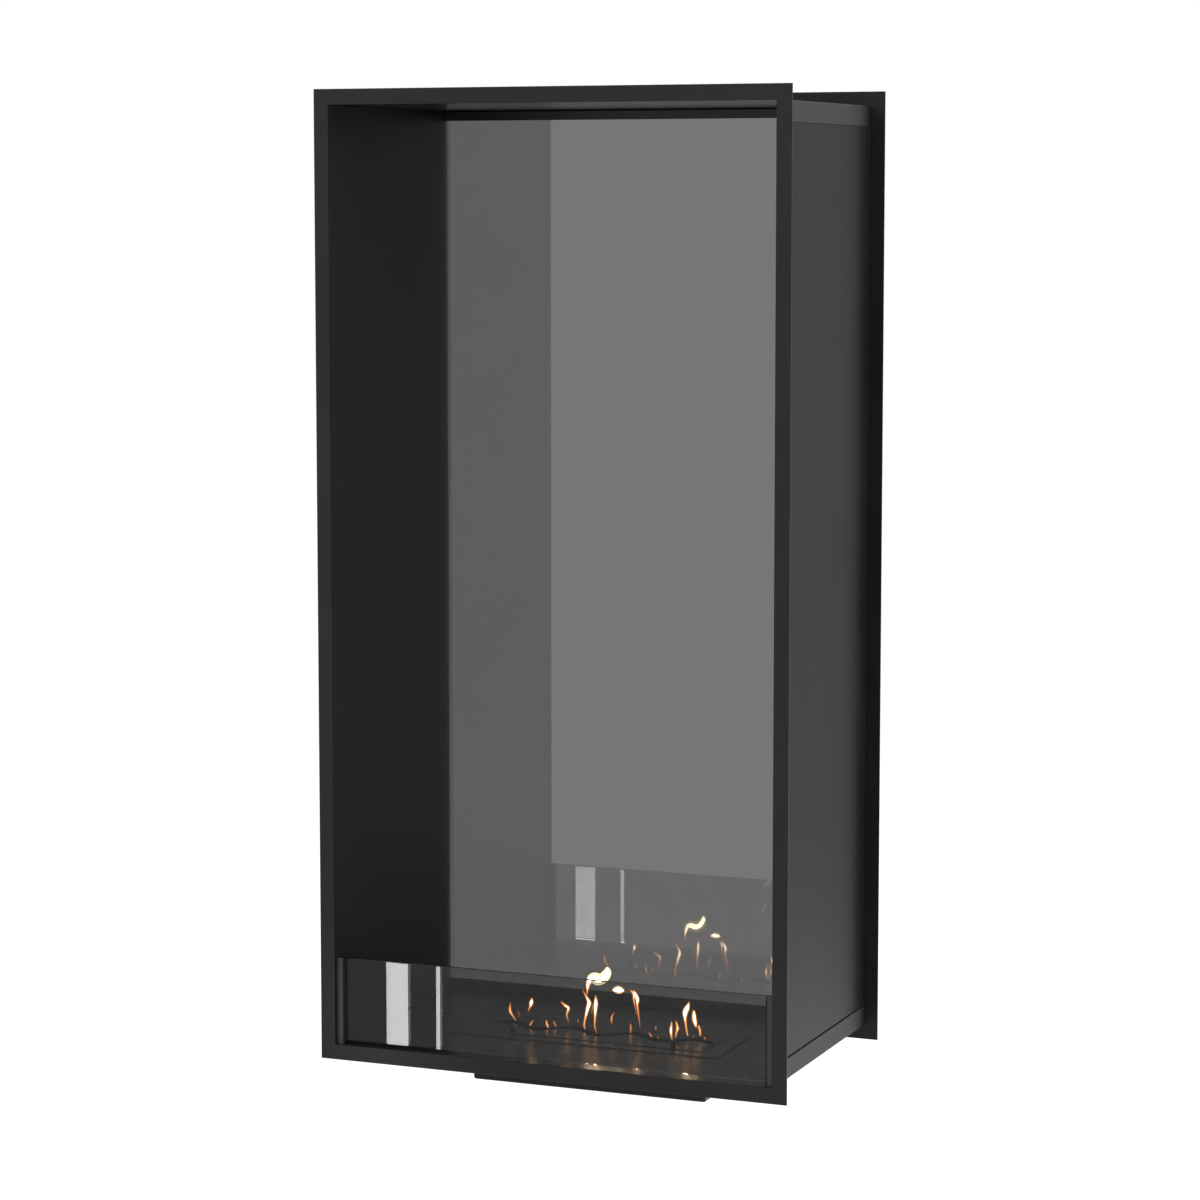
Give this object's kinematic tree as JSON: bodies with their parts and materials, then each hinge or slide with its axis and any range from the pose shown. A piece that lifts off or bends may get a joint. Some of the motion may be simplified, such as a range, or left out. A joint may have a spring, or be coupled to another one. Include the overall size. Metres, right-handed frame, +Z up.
{
  "type": "double-sided fireplace",
  "caption": "Tall built-in double-sided fireplace: flanged black steel casing, smoked rear pane, low glass guard and lift-out fuel burner with a wavy flame slot and sliding shutter.",
  "frame": {"origin": "centre of the base tray's underside, where the casing rests on the sill of the wall opening", "axes": "+X to the right across the face, +Y from the front face to the rear face, +Z up"},
  "size_m": [0.64, 0.368, 1.294],
  "materials": {
    "black_steel": "satin black powder coat",
    "smoked_glass": "polished smoked glass",
    "clear_glass": "polished lightly tinted glass",
    "seal_rubber": "matt black rubber",
    "knob_steel": "satin blackened steel",
    "mineral_wool": "loose mineral fibre"
  },
  "bodies": {
    "casing": {"front_frame": "black_steel", "rear_frame": "black_steel", "base_tray": "black_steel", "top_tray": "black_steel", "side_liner_left": "black_steel", "side_liner_right": "black_steel", "side_panel_left": "black_steel", "side_panel_right": "black_steel", "rear_glass": "smoked_glass", "rear_rail_bottom": "black_steel", "rear_rail_top": "black_steel", "rear_seal_bottom": "seal_rubber", "rear_seal_top": "seal_rubber", "guard_post_left": "black_steel", "guard_post_right": "black_steel", "guard_gasket_left": "seal_rubber", "guard_gasket_right": "seal_rubber", "guard_pads": "seal_rubber"},
    "guard": {"guard_glass": "clear_glass"},
    "burner": {"burner_trim": "black_steel", "fuel_tank": "black_steel", "flame_plate_front": "black_steel", "flame_plate_rear": "black_steel", "shutter_guide_left": "black_steel", "shutter_guide_right": "black_steel", "fuel_wool": "mineral_wool"},
    "shutter": {"flame_shutter": "black_steel", "shutter_knob_left": "knob_steel", "shutter_knob_right": "knob_steel"}
  },
  "joints": [
    {"name": "guard_lift", "type": "slide", "parent": "casing", "child": "guard", "axis": [0, 0, 1], "range_m": [0, 0.12]},
    {"name": "burner_lift", "type": "slide", "parent": "casing", "child": "burner", "axis": [0, 0, 1], "range_m": [0, 0.09]},
    {"name": "shutter_slide", "type": "slide", "parent": "burner", "child": "shutter", "axis": [0, 1, 0], "range_m": [0, 0.0193]}
  ]
}
